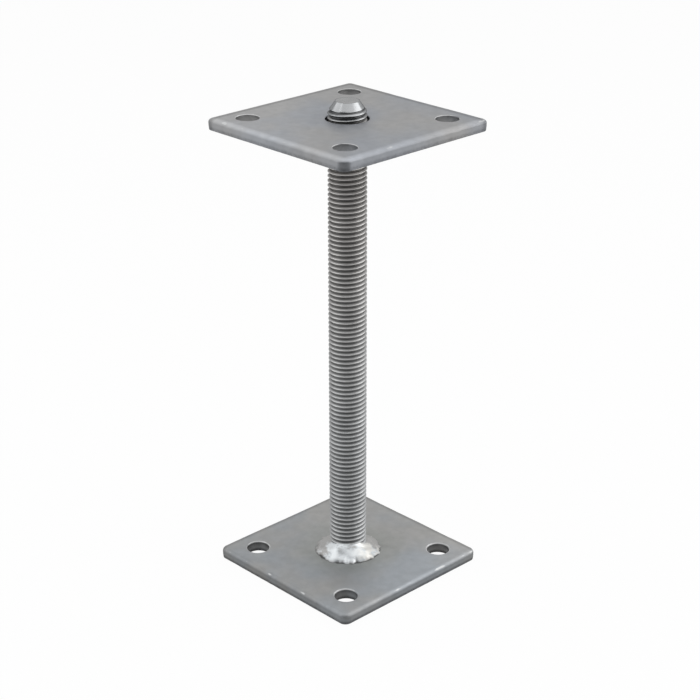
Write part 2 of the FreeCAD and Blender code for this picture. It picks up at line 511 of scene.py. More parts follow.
@dataclass(frozen=True)
class GalvanisedPlateFinish(Finish):
    """Hot-dip zinc on a punched plate: cloudy and matt, rubbed bright in places on its rolled edges, with
    painted light and shade on its edges, walls and holes.

    Attributes:
        cool: Colour of the bluish clouds.
        warm: Colour of the neutral clouds.
        cloud: Size of the clouds.
        shade_margin: Distance from the middle where the painted shade along the far -X and +Y edges lies.
        painted_light: How much paler the zinc is painted on one side of the plate, as painted light.
        painted_light_x: That side's direction along X.
        painted_light_y: That side's direction along Y.
        roll_painted_light: Tone of the painted highlight on the rolled edge on the -Y side; below 1 it is
            painted shade.
        roll_side_painted_light: Its tone on the other sides.
        rub: How strong its streaks have to be to show as rubbed bright on the rolled edges.
        wall_painted_shade: How dark the painted shade on the outer walls is.
        corner_painted_shade: How dark the painted shade on the outer wall is at the +X -Y corner.
        bore_painted_shade: How dark the painted shade on the walls of the holes is.
        torn_and_shaded_tone: How dark it is where the wall broke away, as torn zinc and as painted shade
            along the lower edge.
        heat_reach: Radius round the rod up to which the weld's heat has tinted it, or 0.
        seam: Radius round the rod up to which a painted shadow lies under the weld's toe.
        heat: Colour of the heat's tint.
        toe_shadow: Colour of the painted shadow under the weld's toe.
        lean: How fast the clouds turn neutral from the +X -Y corner to the opposite one, per metre.
        shade_margin_tone: How dark the painted shade along the far edges is.
        rubbed: Colour of what is rubbed bright.
        gap_shadow: Colour of the black painted shade on the wall of the rod's hole.
    """

    cool: Colour
    warm: Colour
    cloud: float
    shade_margin: float
    painted_light: float
    painted_light_x: float
    painted_light_y: float
    roll_painted_light: float
    roll_side_painted_light: float
    rub: float
    wall_painted_shade: float
    corner_painted_shade: float
    bore_painted_shade: float
    torn_and_shaded_tone: float
    heat_reach: float = 0.0
    seam: float = 0.0
    heat: Colour = (0.395, 0.404, 0.388)
    toe_shadow: Colour = (0.1, 0.1, 0.1)
    lean: float = 1.3
    shade_margin_tone: float = 0.68
    rubbed: Colour = (0.78, 0.79, 0.79)
    gap_shadow: Colour = (0.02, 0.02, 0.02)

    def lay(self, recipe: Recipe) -> None:
        """Lays clouds with painted light and shade, heat tint, mottling, rubbed edges with painted
        highlight, and punched walls with painted shade over each other.

        Args:
            recipe: Material that gets the finish.
        """
        colour = self.clouded(recipe)
        if self.heat_reach:
            colour = self.heated(recipe, colour)
        mottle = recipe.noise(5 * MM, detail=4.0, rough=0.6, seed=self.seed + 7)
        colour = recipe.toned(colour, recipe.spread(mottle, NOISE_BODY, (0.95, 1.05)))
        colour = self.punched(recipe, self.rolled(recipe, colour))
        dulled = recipe.noise(9 * MM, detail=3.0, rough=0.55, seed=self.seed + 13)
        broken = recipe.times(recipe.mask(Mask.BREAK), 0.12)
        rough = recipe.plus(recipe.spread(dulled, NOISE_BODY, (0.52, 0.62)), broken)
        recipe.coat(Base_Color=colour, Metallic=0.9, Roughness=rough)
        waves = recipe.noise(7 * MM, detail=2.0, rough=0.5, seed=self.seed + 19)
        grain = recipe.noise(0.8 * MM, detail=3.0, rough=0.6, seed=self.seed + 17)
        recipe.bumps((waves, 0.14 * MM), (grain, 0.02 * MM))

    def clouded(self, recipe: Recipe) -> Socket:
        """The cloudy zinc of the faces, with painted light on one side and painted shade along the far
        edges.

        Args:
            recipe: Material that gets the nodes.

        Returns:
            The zinc's colour.
        """
        x, y, _ = recipe.axes()
        clouds = recipe.noise(self.cloud, detail=2.0, rough=0.5, seed=self.seed)
        clouds = recipe.plus(clouds, recipe.times(recipe.minus(y, x), self.lean))
        colour = recipe.mix(recipe.spread(clouds, (0.36, 0.64)), self.cool, self.warm)
        # Painted light: the zinc is painted paler towards one side of the plate.
        across = recipe.plus(recipe.times(x, self.painted_light_x), recipe.times(y, self.painted_light_y))
        painted_light = recipe.spread(across, (8 * MM, 40 * MM), (1.0, 1.0 + self.painted_light))
        # Painted shade along the far -X and +Y edges.
        far = recipe.larger(y, recipe.times(x, -1.0))
        blurred = (self.shade_margin - 1.5 * MM, self.shade_margin + 1.5 * MM)
        shade_margin = recipe.spread(far, blurred, (1.0, self.shade_margin_tone))
        return recipe.toned(recipe.toned(colour, painted_light), shade_margin)

    def heated(self, recipe: Recipe, colour: Socket) -> Socket:
        """The tint that the heat left round the weld, and a painted shadow line under its toe in front.

        Args:
            recipe: Material that gets the nodes.
            colour: The zinc's colour.

        Returns:
            The tinted colour.
        """
        x, y, _ = recipe.axes()
        drift = recipe.noise(14 * MM, detail=3.0, rough=0.6, seed=self.seed + 3)
        distance = recipe.plus(recipe.from_axis(), recipe.times(drift, 16 * MM))
        reach = (0.6 * self.heat_reach, 1.3 * self.heat_reach)
        colour = recipe.mix(recipe.spread(distance, reach, (0.9, 0.0)), colour, self.heat)
        # Painted shadow: a ragged dark line round the weld's toe, on the +X -Y side only.
        ragged = recipe.noise(3 * MM, detail=2.0, rough=0.5, seed=self.seed + 5)
        toe_shadow_line = recipe.plus(recipe.from_axis(), recipe.times(ragged, 2 * MM))
        toe = (self.seam + 0.6 * MM, self.seam + 1.2 * MM)
        ahead = recipe.spread(recipe.minus(x, y), (-6 * MM, 8 * MM))
        dark = recipe.times(recipe.spread(toe_shadow_line, toe, (0.75, 0.0)), ahead)
        return recipe.mix(dark, colour, self.toe_shadow)

    def rolled(self, recipe: Recipe, colour: Socket) -> Socket:
        """The painted highlight and shade on the rolled outer edges, and the streaks that are rubbed
        bright on all rolls.

        Args:
            recipe: Material that gets the nodes.
            colour: The zinc's colour.

        Returns:
            The colour with its edges.
        """
        x, y, _ = recipe.axes()
        roll = recipe.mask(Mask.ROLL)
        side = recipe.larger(recipe.maths(Maths.ABSOLUTE, x), recipe.maths(Maths.ABSOLUTE, y))
        outer = recipe.times(roll, recipe.spread(side, (45 * MM, 46.5 * MM)))
        # Painted highlight on the rolled outer edges, and painted shade where the tone is below 1.
        tone = recipe.spread(y, (-48 * MM, -15 * MM), (self.roll_painted_light, self.roll_side_painted_light))
        colour = recipe.toned(colour, tone, outer)
        streaks = recipe.times(roll, recipe.noise(8 * MM, detail=2.0, rough=0.5, seed=self.seed + 9))
        clear = recipe.spread(recipe.minus(x, y), (78 * MM, 90 * MM), (0.8, 0.0))
        worn = recipe.times(recipe.spread(streaks, (self.rub, self.rub + 0.1)), clear)
        return recipe.mix(worn, colour, self.rubbed)

    def punched(self, recipe: Recipe, colour: Socket) -> Socket:
        """Painted shade on the outer walls and in the holes, black painted shade in the gap round the rod,
        and torn zinc with painted shade where the walls broke away.

        Args:
            recipe: Material that gets the nodes.
            colour: The zinc's colour.

        Returns:
            The colour with its walls.
        """
        x, y, _ = recipe.axes()
        wall = recipe.mask(Mask.WALL)
        # Painted shade on the outer walls, deeper at the +X -Y corner.
        colour = recipe.toned(colour, self.wall_painted_shade, wall)
        near_corner = (94.5 * MM, 97 * MM)
        corner = recipe.spread(recipe.minus(x, y), near_corner, (1.0, self.corner_painted_shade))
        colour = recipe.toned(colour, corner, wall)
        # Painted shade on the walls of the holes, in patches.
        patches = recipe.noise(4 * MM, detail=2.0, rough=0.5, seed=self.seed + 23)
        patchy = recipe.spread(patches, NOISE_MIDDLE, (0.8, 1.15))
        bored = recipe.toned(recipe.toned(colour, self.bore_painted_shade), patchy)
        colour = recipe.mix(recipe.mask(Mask.BORE), colour, bored)
        # Black painted shade on the wall of the rod's hole.
        colour = recipe.mix(recipe.mask(Mask.DEEP), colour, self.gap_shadow)
        # Where the wall broke away: torn zinc, darkened also as painted shade along the lower edge.
        torn = recipe.noise(1.6 * MM, detail=4.0, rough=0.7, seed=self.seed + 11)
        tear = recipe.spread(torn, NOISE_MIDDLE, (self.torn_and_shaded_tone - 0.12, self.torn_and_shaded_tone + 0.12))
        return recipe.toned(colour, tear, recipe.mask(Mask.BREAK))


@dataclass(frozen=True)
class ThreadFinish(Finish):
    """Zinc on cut metal: satin on the crests and plain faces, rougher in the grooves, with painted shade
    in them.

    Attributes:
        crest: Colour of crests and plain faces at the foot.
        upper_crest: Their colour at the upper end.
        groove_shade: How dark the painted shade in the grooves is at the foot.
        upper_groove_shade: How dark it is at the upper end, where it also stands for the head plate's
            shadow.
        low: Height where the change from foot to upper end begins.
        high: Height where it ends.
        tip_height: Height where the turned end begins.
        tip: Colour of the turned end.
        end: Colour of the sawn end face.
        glance: Tint of what it mirrors at a glancing angle.
        groove_dulling: How much rougher the grooves are.
        upper_gloss: How much smoother the upper end is.
        turned_gloss: How much smoother still the turned end is.
    """

    crest: Colour
    upper_crest: Colour
    groove_shade: float
    upper_groove_shade: float
    low: float
    high: float
    tip_height: float
    tip: Colour = (0.475, 0.485, 0.495)
    end: Colour = (0.76, 0.763, 0.766)
    glance: Colour = (0.4, 0.4, 0.4)
    groove_dulling: float = 0.15
    upper_gloss: float = 0.12
    turned_gloss: float = 0.14

    def lay(self, recipe: Recipe) -> None:
        """Lays the crests' colour, darkens it in the grooves as painted shade, and dulls it in patches.

        Args:
            recipe: Material that gets the finish.
        """
        _, _, height = recipe.axes()
        climb = (self.low, self.high)
        upper = recipe.spread(height, climb)
        # Painted shade in the grooves, deeper towards the upper end as the head plate's shadow.
        tone = recipe.spread(height, climb, (self.groove_shade, self.upper_groove_shade))
        turned = recipe.spread(height, (self.tip_height - 3 * MM, self.tip_height + 3 * MM))
        sunk = recipe.spread(recipe.mask(Mask.DEEP), (0.08, 0.92))
        crest = recipe.mix(upper, self.crest, self.upper_crest)
        crest = recipe.mix(turned, crest, self.tip)
        colour = recipe.toned(crest, tone, sunk)
        colour = recipe.mix(recipe.mask(Mask.END), colour, self.end)
        patches = recipe.noise(11 * MM, detail=4.0, rough=0.6, seed=self.seed)
        colour = recipe.toned(colour, recipe.spread(patches, NOISE_BODY, (0.9, 1.08)))
        dulled = recipe.noise(3 * MM, detail=3.0, rough=0.6, seed=self.seed + 5)
        rough = recipe.spread(dulled, NOISE_BODY, (0.40, 0.52))
        rough = recipe.plus(rough, recipe.times(sunk, self.groove_dulling))
        rough = recipe.minus(rough, recipe.times(upper, self.upper_gloss))
        rough = recipe.minus(rough, recipe.times(turned, self.turned_gloss))
        recipe.coat(Base_Color=colour, Metallic=1.0, Roughness=rough, Specular_Tint=self.glance)
        grain = recipe.noise(0.9 * MM, detail=3.0, rough=0.6, seed=self.seed + 9)
        recipe.bumps((grain, 0.03 * MM))


@dataclass(frozen=True)
class WeldFinish(Finish):
    """Bright zinc over weld metal, with cool runs, bare metal where the zinc is thin, and painted shade on
    one side, at the back and along the toe.

    Attributes:
        bright: Colour of the zinc.
        warm: Its colour on the +X +Y side.
        cool: Colour of the runs in it.
        dull_and_shade: Colour of the bare metal in the runs and high up on the rod, which also serves as
            painted shade on the -X -Y side and at the back.
        toe_shadow_line: Colour of the painted shadow along the toe's edge.
    """

    bright: Colour
    warm: Colour
    cool: Colour
    dull_and_shade: Colour
    toe_shadow_line: Colour = (0.16, 0.16, 0.16)

    def lay(self, recipe: Recipe) -> None:
        """Lays the zinc's tones, its runs, the thin places and the painted shade over each other.

        Args:
            recipe: Material that gets the finish.
        """
        x, y, z = recipe.axes()
        across = recipe.plus(x, y)
        runs = recipe.noise(7 * MM, detail=3.0, rough=0.6, seed=self.seed, flat=2.2)
        colour = recipe.mix(recipe.spread(across, (2 * MM, 16 * MM)), self.bright, self.warm)
        colour = recipe.mix(recipe.spread(runs, (0.45, 0.62)), colour, self.cool)
        # Painted shade: the zinc turns to the darker bare metal on the -X -Y side and at the back, as well
        # as in thin runs and higher up.
        aside = recipe.spread(across, (-23 * MM, -11 * MM), (0.27, 0.0))
        above = recipe.times(recipe.minus(z, 9 * MM), 10.0)
        behind = recipe.spread(recipe.minus(x, y), (-4 * MM, 10 * MM), (0.3, 0.0))
        thin = recipe.plus(runs, aside, above, behind)
        colour = recipe.mix(recipe.spread(thin, (0.56, 0.76)), colour, self.dull_and_shade)
        # Painted shadow along the toe's edge.
        colour = recipe.mix(recipe.mask(Mask.DEEP), colour, self.toe_shadow_line)
        dulled = recipe.noise(3 * MM, detail=3.0, rough=0.6, seed=self.seed + 5)
        rough = recipe.spread(dulled, NOISE_BODY, (0.36, 0.56))
        recipe.coat(Base_Color=colour, Metallic=0.8, Roughness=rough)
        coarse = recipe.noise(3.6 * MM, detail=2.0, rough=0.5, seed=self.seed + 9)
        fine = recipe.noise(0.8 * MM, detail=3.0, rough=0.6, seed=self.seed + 11)
        recipe.bumps((coarse, 0.12 * MM), (fine, 0.03 * MM))


@dataclass(frozen=True)
class Role:
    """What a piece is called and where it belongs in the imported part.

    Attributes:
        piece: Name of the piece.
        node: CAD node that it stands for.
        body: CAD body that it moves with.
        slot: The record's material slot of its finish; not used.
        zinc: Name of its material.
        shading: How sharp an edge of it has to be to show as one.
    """

    piece: str
    node: str
    body: str
    slot: str
    zinc: str
    shading: Shading


@dataclass
class Assembly:
    """A piece of the post base, which stands for one CAD node.

    Attributes:
        role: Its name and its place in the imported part.
        finish: Its finish.
    """

    role: Role
    finish: Finish

    def build(self) -> Surface:
        """The piece's surface, which each kind of piece works out in its own way."""
        raise NotImplementedError

    def dress(self) -> bpy.types.Object:
        """Builds the piece as an object with its finish, and lets it ride in its node's place.

        Returns:
            The finished piece.
        """
        piece = self.build().to_object(self.role.piece, self.role.shading)
        piece.data.materials.append(self.finish.material(self.role.zinc))
        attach(piece, self.role.body)
        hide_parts(self.role.node)
        return piece


@dataclass(frozen=True)
class PunchedEdge:
    """How the punch left one kind of edge.

    Attributes:
        roll: How far the rolled upper edge reaches down.
        reach: How far it reaches back from the wall.
        wall: Mask that marks the upright part.
        rub: How strongly the rolled edge is marked, for its rubbed streaks and for the painted highlight
            on the outer edges.
        shade_relief: How much less painted shade the middle of the wall gets than its ends.
    """

    roll: float
    reach: float
    wall: Mask
    rub: float
    shade_relief: float


@dataclass
class PunchedPlate(Assembly):
    """A square plate, punched from above: rolled upper edges, and a lower wall that broke away.

    Attributes:
        seed: Seed of its unevenness.
        edge: How the punch left its outer edge.
        rim: How it left the rims of its holes.
        bore_radius: Radius of the rod's hole in its middle, or 0.
        corner_radius: Radius of its corners.
        hole_radius: Radius of its fixing holes.
        hole_edge_distance: Distance of their centres from its edges.
        break_share: Share of its thickness over which the wall broke away.
        break_slant: How far the broken wall slants back.
        burr_radius: Radius of its lower edges.
        warp: How far it is warped up and down.
        warp_length: Typical wavelength of that.
        edge_wander: How far its edges wander in.
        wander_length: Typical wavelength of that.
        wander_power: How fast the wandering fades from the edge inwards.
        straight_steps: How many steps a straight run of a quadrant has.
        arc_steps: How many steps a quarter circle has.
    """

    seed: int
    edge: PunchedEdge
    rim: PunchedEdge
    bore_radius: float = 0.0
    corner_radius: float = 4.0 * MM
    hole_radius: float = 6.0 * MM
    hole_edge_distance: float = 15.0 * MM
    break_share: float = 0.4
    break_slant: float = 0.25 * MM
    burr_radius: float = 0.25 * MM
    warp: float = 0.05 * MM
    warp_length: float = 34 * MM
    edge_wander: float = 0.07 * MM
    wander_length: float = 9 * MM
    wander_power: int = 12
    straight_steps: int = 36
    arc_steps: int = 14

    def __post_init__(self) -> None:
        """Reads the plate's side, thickness and height from its CAD node."""
        low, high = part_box(self.role.node)
        self.half = (high.x - low.x) / 2
        self.thickness = high.z - low.z
        self.underside = low.z
        self.hole_centre = self.half - self.hole_edge_distance

    def punched_wall(self, edge: PunchedEdge) -> tuple[Array, Array, dict[str, Array]]:
        """The section of a punched edge, from the upper face down to the lower one.

        A quarter ellipse rolls over from the upper face, the sheared wall drops straight, the
        broken wall slants back under it, and a small quarter circle ends at the lower face.

        Args:
            edge: How the punch left the edge.

        Returns:
            How far each point lies behind the edge, its height over the underside, and its masks.
        """
        turn = np.linspace(0, QUARTER_TURN, ROLL_POINTS)
        burr_turn = np.linspace(0, QUARTER_TURN, BURR_POINTS + 1)[1:]
        break_top = self.break_share * self.thickness
        back = np.concatenate([
            edge.reach * (1 - np.sin(turn)),
            np.zeros(SHEAR_POINTS),
            np.linspace(0, self.break_slant, BREAK_POINTS + 1)[1:],
            self.break_slant + self.burr_radius * (1 - np.cos(burr_turn)),
        ])
        up = np.concatenate([
            self.thickness - edge.roll * (1 - np.cos(turn)),
            np.linspace(self.thickness - edge.roll, break_top, SHEAR_POINTS + 1)[1:],
            np.linspace(break_top, self.burr_radius, BREAK_POINTS + 1)[1:],
            self.burr_radius * (1 - np.sin(burr_turn)),
        ])
        rolled = np.concatenate([edge.rub * np.sin(2 * turn), np.zeros(SHADE_RELIEF.size)])
        # The upright mask carries the walls' painted shade, lighter in the middle by the shade relief.
        upright = np.concatenate([np.sin(turn) ** 8, 1 - edge.shade_relief * SHADE_RELIEF])
        broken = np.concatenate([np.zeros(ROLL_POINTS + SHEAR_POINTS), TEAR])
        return back, up, {Mask.ROLL.name: rolled, edge.wall.name: upright, Mask.BREAK.name: broken}

    def edge_stations(self, inset: Array) -> Array:
        """The outer edge in one quadrant, drawn in by several insets at once.

        Straight along x = half, round the corner on an arc, and straight along y = half.

        Args:
            inset: How far each copy of the edge is drawn in.

        Returns:
            Points of shape (insets, stations, 2), anticlockwise.
        """
        inset = np.asarray(inset)[:, None]
        middle = self.half - self.corner_radius
        run = np.linspace(0, middle, self.straight_steps + 1)
        turn = np.linspace(0, QUARTER_TURN, self.arc_steps + 1)[1:-1]
        side = self.half - inset * np.ones_like(run)
        along = np.ones_like(inset) * run
        arc = self.corner_radius - inset
        x = np.hstack([side, middle + arc * np.cos(turn), along[:, ::-1]])
        y = np.hstack([along, middle + arc * np.sin(turn), side])
        return np.stack([x, y], axis=-1)

    def bore_stations(self, radius: Array) -> Array:
        """The rod's hole in one quadrant, at several radii at once.

        Args:
            radius: Radius of each copy of the hole.

        Returns:
            Points of shape (radii, stations, 2), clockwise.
        """
        turn = np.linspace(QUARTER_TURN, 0, self.arc_steps + 1)
        radius = np.asarray(radius)[:, None]
        return np.stack([radius * np.cos(turn), radius * np.sin(turn)], axis=-1)

    def cell_border(self, inset: float, bore: float) -> Array:
        """The closed border of one quadrant of a face, anticlockwise from its inner corner.

        Out along the X axis, along the outer edge, back along the Y axis, and round the bore.

        Args:
            inset: How far the outer edge is drawn in.
            bore: Radius at which the face ends round the rod's hole.

        Returns:
            Points of shape (stations, 2), with the first one repeated at the end.
        """
        reach = np.linspace(bore, self.half - inset, self.straight_steps + 1)
        out = np.column_stack([reach, np.zeros_like(reach)])
        edge = self.edge_stations(np.array([inset]))[0]
        back = out[::-1, ::-1]
        round_bore = self.bore_stations(np.array([bore]))[0]
        return np.vstack([out[:-1], edge[:-1], back[:-1], round_bore])

    def hole_stations(self, radius: Array) -> Array:
        """The fixing hole in one quadrant, at several radii at once.

        A station lies in the direction from the hole's centre to a station of the cell's border.

        Args:
            radius: Radius of each copy of the hole.

        Returns:
            Points of shape (radii, stations, 2).
        """
        away = self.cell_border(0.0, self.bore_radius) - self.hole_centre
        angle = np.unwrap(np.arctan2(away[:, 1], away[:, 0]))
        radius = np.asarray(radius)[:, None]
        return self.hole_centre + np.stack([radius * np.cos(angle), radius * np.sin(angle)], axis=-1)

    def face(self, up: float, inset: float, rim: float) -> Array:
        """One quadrant of a face: straight lines from the fixing hole's rim out to the border.

        Args:
            up: Height of the face over the underside.
            inset: How far its outer edge is drawn in.
            rim: How far it keeps away from the walls of the holes.

        Returns:
            Points of shape (rows, stations, 3).
        """
        bore = self.bore_radius + rim if self.bore_radius else 0.0
        border = self.cell_border(inset, bore)
        hole = self.hole_stations(np.array([self.hole_radius + rim]))[0]
        plan = hole + FACE_SHARES[:, None, None] * (border - hole)
        return np.dstack([plan, np.full(plan.shape[:2], up)])

    def build(self) -> Surface:
        """Puts the faces, the outer wall and the walls of the holes together, a quadrant at a time.

        Returns:
            The whole plate.
        """
        surface = Surface()
        edge_back, edge_up, edge_masks = self.punched_wall(self.edge)
        rim_back, rim_up, rim_masks = self.punched_wall(self.rim)
        upper = self.face(self.thickness, edge_back[0], rim_back[0])
        lower = self.face(0.0, edge_back[-1], rim_back[-1])
        wall = raised(self.edge_stations(edge_back), edge_up)
        hole = raised(self.hole_stations(self.hole_radius + rim_back), rim_up)
        bore = raised(self.bore_stations(self.bore_radius + rim_back), rim_up)
        for quarter in range(QUADRANTS):
            surface.add(self.placed(upper, quarter), turned=True)
            surface.add(self.placed(lower, quarter))
            surface.add(self.placed(wall, quarter), turned=True, **edge_masks)
            surface.add(self.placed(hole, quarter), **rim_masks)
            if self.bore_radius:
                # The wall of the rod's hole gets black painted shade.
                gap_shadow_mask = rim_masks[self.rim.wall.name]
                surface.add(self.placed(bore, quarter), turned=True, DEEP=gap_shadow_mask)
        return surface

    def placed(self, grid: Array, quarter: int) -> Array:
        """Turns a patch into its quadrant, lifts it to the plate's height and makes it uneven.

        The plate as a whole is warped up and down, less so towards its underside. Its edges wander
        in, by a share that grows with a power of the distance from the middle.

        Args:
            grid: Points in the first quadrant, over the underside.
            quarter: Number of the quadrant.

        Returns:
            The points in the part's frame.
        """
        cos = round(math.cos(quarter * QUARTER_TURN))
        sin = round(math.sin(quarter * QUARTER_TURN))
        up = grid[..., 2]
        x = cos * grid[..., 0] - sin * grid[..., 1]
        y = sin * grid[..., 0] + cos * grid[..., 1]
        near_x = self.edge_wander * (np.abs(x) / self.half) ** self.wander_power
        near_y = self.edge_wander * (np.abs(y) / self.half) ** self.wander_power
        in_x = near_x * np.abs(unevenness(y, up, self.wander_length, self.seed + 1))
        in_y = near_y * np.abs(unevenness(x, up, self.wander_length, self.seed + 2))
        lift = self.warp * unevenness(x, y, self.warp_length, self.seed)
        settled = lift * np.clip(up / self.thickness, 0, 1)
        height = self.underside + up + settled
        return np.stack([x - in_x * np.sign(x), y - in_y * np.sign(y), height], axis=-1)


@dataclass
class CoarseThread:
    """The right-hand 60 degree thread that the rod and its nut share.

    Attributes:
        radius: Radius of its crests.
        pitch: Height of one turn.
        flank_angle: Angle of a flank against the level.
        crest_share: Width of a flat crest, as a share of the pitch.
        depth_share: Depth of a groove, as a share of the pitch, as the standard has it.
    """

    radius: float = 10.0 * MM
    pitch: float = 2.5 * MM
    flank_angle: float = math.radians(30)
    crest_share: float = 0.125
    depth_share: float = 0.6134

    @property
    def depth(self) -> float:
        """Depth of a groove."""
        return self.depth_share * self.pitch

    def section(self) -> tuple[Array, Array]:
        """One pitch of the thread, from the middle of a groove to just before the next one.

        A rounded groove, a straight flank, a crest with rounded edges, and the same way down.

        Returns:
            The share of the pitch at each point, and how deep the point lies under the crest.
        """
        crest = self.crest_share / 2
        flank = self.depth * math.tan(self.flank_angle) / self.pitch
        foot = 0.5 - crest - flank
        steps = [0, 0.8 * foot, foot + 0.22 * flank, foot + 0.8 * flank, 0.5 - 0.6 * crest]
        depths = [1.0, 0.985, 0.79, 0.18, 0.0]
        share = np.array(steps + [1 - step for step in reversed(steps[1:])])
        return share, self.depth * np.array(depths + depths[:0:-1])

    def helix(self, low: float, high: float, columns: int) -> tuple[Array, Array, Array]:
        """The thread between two heights as one long strip, a row for each point of each turn.

        A point's height grows by one pitch for each turn, so each row climbs to where the row of
        the next turn starts. Rows past an end are laid flat on it.

        Args:
            low: Lower end.
            high: Upper end.
            columns: How many steps a turn has.

        Returns:
            Angle, height and depth under the crest, each of shape (rows, columns + 1).
        """
        share, depth = self.section()
        turns = np.arange(math.floor(low / self.pitch) - 2, math.ceil(high / self.pitch) + 1)
        along = (turns[:, None] + share).reshape(-1, 1)
        angle = np.broadcast_to(np.linspace(0, FULL_TURN, columns + 1), (along.size, columns + 1))
        height = self.pitch * (along + angle / FULL_TURN)
        sunk = np.broadcast_to(np.tile(depth, len(turns))[:, None], height.shape)
        return angle, np.clip(height, low, high), sunk


@dataclass
class ThreadedRod(Assembly):
    """The rod with its thread, its turned and tapered end, and its foot in the weld.

    Attributes:
        thread: Its thread.
        tip_radius: Radius of its upper end.
        tip_length: Length of the taper below that.
        tip_groove: Share of a groove's depth that gets the full painted shade on the taper.
        columns: How many steps a turn has.
    """

    thread: CoarseThread
    tip_radius: float = 6.2 * MM
    tip_length: float = 5.5 * MM
    tip_groove: float = 0.3
    columns: int = 72

    def build(self) -> Surface:
        """The threaded flank, cut by a cone at each end, and two discs that close it.

        A point's radius is the crest's less the point's depth in the thread, or a cone's where that
        is smaller. The upper cone widens downwards from the tip by the taper, and the lower one
        widens upwards from the grooves' radius as fast as it climbs.

        Returns:
            The whole rod.
        """
        low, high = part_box(self.role.node)
        thread = self.thread
        angle, height, sunk = thread.helix(low.z, high.z, self.columns)
        root = thread.radius - thread.depth
        taper = (thread.radius - self.tip_radius) / self.tip_length
        tip_cone = self.tip_radius + taper * (high.z - height)
        foot_cone = root + (height - low.z)
        cone = np.minimum(np.minimum(tip_cone, foot_cone), thread.radius)
        radius = np.minimum(thread.radius - sunk, cone)
        # The painted shade in the grooves is full from this share of a groove's depth on the taper, and
        # from the whole depth elsewhere.
        dark = np.where(tip_cone < thread.radius, self.tip_groove, 1.0) * thread.depth
        surface = Surface()
        surface.add(ringed(angle, radius, height), DEEP=np.minimum((cone - radius) / dark, 1))
        share = DISC_SHARES[:, None]
        turn = np.broadcast_to(np.linspace(0, FULL_TURN, self.columns + 1), (share.size, self.columns + 1))
        flat = np.ones_like(turn)
        surface.add(ringed(turn, share * self.tip_radius * flat, high.z * flat), END=flat)
        surface.add(ringed(turn, share * root * flat, low.z * flat), turned=True)
        return surface


@dataclass
class WeldSeam(Assembly):
    """The lumpy ring of weld metal round the rod's foot.

    Attributes:
        rod_radius: Radius of the rod.
        sunk_radius: Radius inside the rod where the ring is closed.
        climb: How high it climbs on the rod at its lowest, as a share of the solid weld's height.
        run_up: How much higher it climbs where the welder ended, as a share of that height.
        run_towards: Angle round the rod where it climbs highest.
        toe_share: How far its toe reaches out, as a share of the solid weld's leg.
        toe_sway: How much its two toes sway in and out, as a share of the legs.
        crown: How far its face bulges.
        lump: How high its lumps stand.
        ragged: How far its toe on the plate is frayed.
        lip: How thick it is just before that toe.
        bite: How far its toe on the rod reaches into the rod.
        undercut: How far its underside starts behind its toe on the plate.
        inner_drop: How much lower it ends inside the rod than at its toe there.
        columns: How many steps it has round the rod.
        rows: How many steps its face has.
        seed: Seed of its unevenness.
    """

    rod_radius: float = 10.0 * MM
    sunk_radius: float = 8.2 * MM
    climb: float = 0.42
    run_up: float = 0.54
    run_towards: float = math.radians(-45)
    toe_share: float = 0.95
    toe_sway: float = 0.05
    crown: float = 0.05 * MM
    lump: float = 0.3 * MM
    ragged: float = 0.55 * MM
    lip: float = 0.35 * MM
    bite: float = 0.4 * MM
    undercut: float = 0.3 * MM
    inner_drop: float = 0.5 * MM
    columns: int = 260
    rows: int = 44
    seed: int = 21

    def build(self) -> Surface:
        """A fillet between two uneven toes, carried round the rod and closed inside it.

        The face runs from the toe on the rod to the toe on the plate. It bulges by the crown, and
        lumps of two sizes stand on it. It climbs the rod by its climb plus the run up times the
        square of half of one plus the cosine of the angle from where it climbs highest. The section
        closes along the plate and up inside the rod.

        Returns:
            The closed ring.
        """
        low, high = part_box(self.role.node)
        leg_out = high.x - self.rod_radius
        leg_up = high.z - low.z
        lean = math.atan2(leg_up, leg_out)
        angle = np.linspace(0, FULL_TURN, self.columns + 1)
        along = np.linspace(0, 1, self.rows)[:, None]
        flat = np.ones_like(angle)
        none = np.zeros_like(angle)
        sway_out = self.toe_sway * round_unevenness(angle, none, lobes=6, seed=self.seed)
        toe_out = leg_out * (self.toe_share + sway_out)
        fringe = self.ragged * round_unevenness(angle, none, lobes=18, seed=self.seed + 1)
        sway_up = self.toe_sway * round_unevenness(angle, none, lobes=5, seed=self.seed + 2)
        rise = ((1 + np.cos(angle - self.run_towards)) / 2) ** 2
        toe_up = leg_up * (self.climb + self.run_up * rise + sway_up)
        lumps = 0.6 * round_unevenness(angle, 1.2 * along, lobes=3, seed=self.seed + 3)
        lumps = lumps + 0.5 * round_unevenness(angle, 5 * along, lobes=6, seed=self.seed + 4)
        swell = self.crown * 4 * along * (1 - along) + self.lump * np.sin(math.pi * along) ** 0.6 * lumps
        radius = self.rod_radius - self.bite * (1 - along) + toe_out * along + fringe * along ** 7
        radius = radius + swell * math.sin(lean)
        lip = self.lip * (1 - (1 - along) ** 3) * (1 - along ** 12)
        height = low.z + np.maximum(toe_up * (1 - along) + lip + swell * math.cos(lean), 0)
        inner = self.sunk_radius * flat
        top = height[0] - self.inner_drop
        radius = np.vstack([inner, radius, radius[-1] - self.undercut, inner, inner])
        height = np.vstack([top, height, low.z * flat, low.z * flat, top])
        # Painted shadow along the toe on the plate, strongest towards where the weld climbs highest.
        facing = np.clip(0.35 + np.cos(angle - self.run_towards), 0, 1)
        toe_shadow_mask = np.vstack([none, along ** 18 * facing, facing, none, none])
        ring = ringed(np.broadcast_to(angle, radius.shape), radius, height)
        surface = Surface()
        surface.add(ring, turned=True, DEEP=toe_shadow_mask)
        return surface


